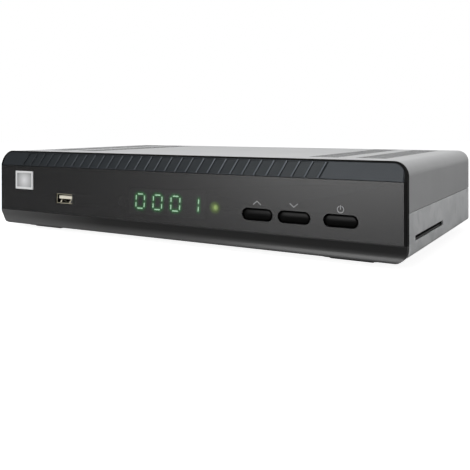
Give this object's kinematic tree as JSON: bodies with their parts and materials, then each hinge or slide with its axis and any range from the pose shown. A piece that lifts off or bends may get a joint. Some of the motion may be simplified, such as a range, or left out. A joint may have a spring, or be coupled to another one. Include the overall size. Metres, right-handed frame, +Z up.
{
  "type": "satellite tv receiver",
  "caption": "Flat desktop receiver box with a smoked front, ribbed trim, numeric display, push buttons, USB socket, vented sheet cover and rear sockets.",
  "frame": {"origin": "on the surface it stands on, under the middle of the bounding box", "axes": "+X to the right seen from the front, +Y from the front to the rear, +Z up"},
  "size_m": [0.26, 0.1508, 0.0482],
  "materials": {
    "cover_paint": "satin grey powder coat",
    "tray_zinc": "galvanised",
    "panel_paint": "matte black powder coat",
    "screw_steel": "blackened",
    "zinc_screw": "zinc plated",
    "foot_plastic": "fine grain",
    "pad_rubber": "matte",
    "bezel_plastic": "gloss black moulding",
    "lens_acrylic": "smoked, polished",
    "strip_plastic": "slate lacquer",
    "badge_metal": "satin",
    "key_plastic": "gloss",
    "print_ink": "printed",
    "switch_plastic": "moulded",
    "plunger_plastic": "moulded",
    "display_plastic": "matte",
    "lit_bar": "glowing pale green",
    "dark_bar": "unlit green",
    "lamp_plastic": "glowing yellow green",
    "eye_plastic": "dark",
    "board_laminate": "green solder mask",
    "nickel": "nickel plated",
    "tongue_plastic": "cream moulding",
    "gold": "gold plated",
    "chip_plastic": "moulded epoxy",
    "sink_aluminium": "black anodised",
    "can_sleeve": "shrunk sleeve",
    "coil_ferrite": "ferrite",
    "tin_plate": "tin plated",
    "white_plastic": "moulded",
    "black_plastic": "moulded",
    "orange_plastic": "moulded",
    "ribbon_film": "laminated"
  },
  "bodies": {
    "case": {"top_cover": "cover_paint", "base_tray": "tray_zinc", "rear_panel": "panel_paint", "cover_screws": "screw_steel", "tray_screws": "screw_steel", "feet": "foot_plastic", "foot_pads": "pad_rubber", "front_bezel": "bezel_plastic", "front_lens": "lens_acrylic", "trim_strip": "strip_plastic", "badge_plate": "badge_metal", "button_switches": "switch_plastic", "panel_symbols": "print_ink", "display_module": "display_plastic", "display_lit_bars": "lit_bar", "display_dark_bars": "dark_bar", "status_led": "lamp_plastic", "remote_eye": "eye_plastic", "front_board": "board_laminate", "front_board_screws": "zinc_screw", "usb_shell": "nickel", "usb_tongue": "tongue_plastic", "usb_contacts": "gold", "main_board": "board_laminate", "standoffs": "nickel", "board_screws": "zinc_screw", "main_chip": "chip_plastic", "heat_sink": "sink_aluminium", "memory_chips": "chip_plastic", "capacitors": "can_sleeve", "power_coils": "coil_ferrite", "tuner_can": "tin_plate", "lnb_connectors": "nickel", "lnb_nuts": "nickel", "lnb_insulators": "white_plastic", "ethernet_socket": "black_plastic", "ethernet_contacts": "gold", "video_shell": "nickel", "video_insert": "black_plastic", "scart_shroud": "nickel", "scart_socket": "black_plastic", "audio_jack": "black_plastic", "audio_barrel": "nickel", "audio_core": "orange_plastic", "remote_jack": "black_plastic", "supply_inlet": "black_plastic", "supply_pin": "nickel", "card_reader": "black_plastic", "card_contacts": "gold", "ribbon_sockets": "white_plastic", "ribbon": "ribbon_film"},
    "up_button": {"up_button": "key_plastic", "up_plunger": "plunger_plastic"},
    "down_button": {"down_button": "key_plastic", "down_plunger": "plunger_plastic"},
    "power_button": {"power_button": "key_plastic", "power_plunger": "plunger_plastic"}
  },
  "joints": [
    {"name": "up_press", "type": "slide", "parent": "case", "child": "up_button", "axis": [0, 1, 0], "range_m": [0, 0.0005], "stiffness_N_per_m": 1500, "springref_m": -0.0005},
    {"name": "down_press", "type": "slide", "parent": "case", "child": "down_button", "axis": [0, 1, 0], "range_m": [0, 0.0005], "stiffness_N_per_m": 1500, "springref_m": -0.0005},
    {"name": "power_press", "type": "slide", "parent": "case", "child": "power_button", "axis": [0, 1, 0], "range_m": [0, 0.0005], "stiffness_N_per_m": 1500, "springref_m": -0.0005}
  ]
}
